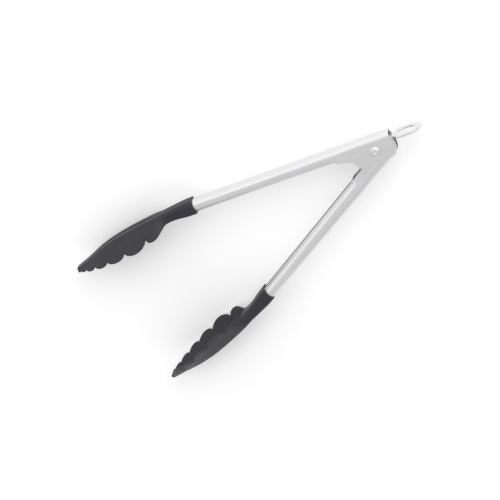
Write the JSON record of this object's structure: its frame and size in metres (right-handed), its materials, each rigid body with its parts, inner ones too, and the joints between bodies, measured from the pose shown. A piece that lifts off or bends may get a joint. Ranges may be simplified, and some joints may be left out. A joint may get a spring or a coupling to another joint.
{
  "type": "spring loaded kitchen tongs",
  "caption": "Spring loaded kitchen tongs: steel channel arms on a rivet hinge, scalloped nylon scoop heads, and a pull tab with a hanging slot that locks them shut.",
  "frame": {"origin": "middle of the foot of the bounding box, with the open tongs lying on their side", "axes": "+X from the jaws to the hanging loop, +Z along the hinge axis and up, +Y toward the arm that carries the pull tab"},
  "size_m": [0.305, 0.131, 0.0431],
  "materials": {
    "arm_steel": "satin polished stainless sheet",
    "tab_steel": "polished stainless strip",
    "rivet_steel": "bright, lightly worn",
    "spring_steel": "drawn spring wire",
    "nylon": "dark slate grey moulded nylon, slight sheen"
  },
  "bodies": {
    "upper_half": {"upper_arm": "arm_steel", "upper_head": "nylon", "pivot_rivet": "rivet_steel", "rivet_burr": "rivet_steel", "pivot_sleeve": "spring_steel", "torsion_spring": "spring_steel"},
    "lower_half": {"lower_arm": "arm_steel", "lower_head": "nylon"},
    "pull_tab": {"lock_tab": "tab_steel"}
  },
  "joints": [
    {"name": "arms_pivot", "type": "hinge", "parent": "upper_half", "child": "lower_half", "pos_m": [0.1107, 0, 0.02153], "axis": [0, 0, -1], "range_deg": [0, 25.3], "stiffness_Nm_per_rad": 0.5, "springref_deg": -34.38, "deforming": ["torsion_spring"]},
    {"name": "lock_slide", "type": "slide", "parent": "upper_half", "child": "pull_tab", "axis": [0.9628, -0.2701, 0], "range_m": [0, 0.0075]}
  ]
}
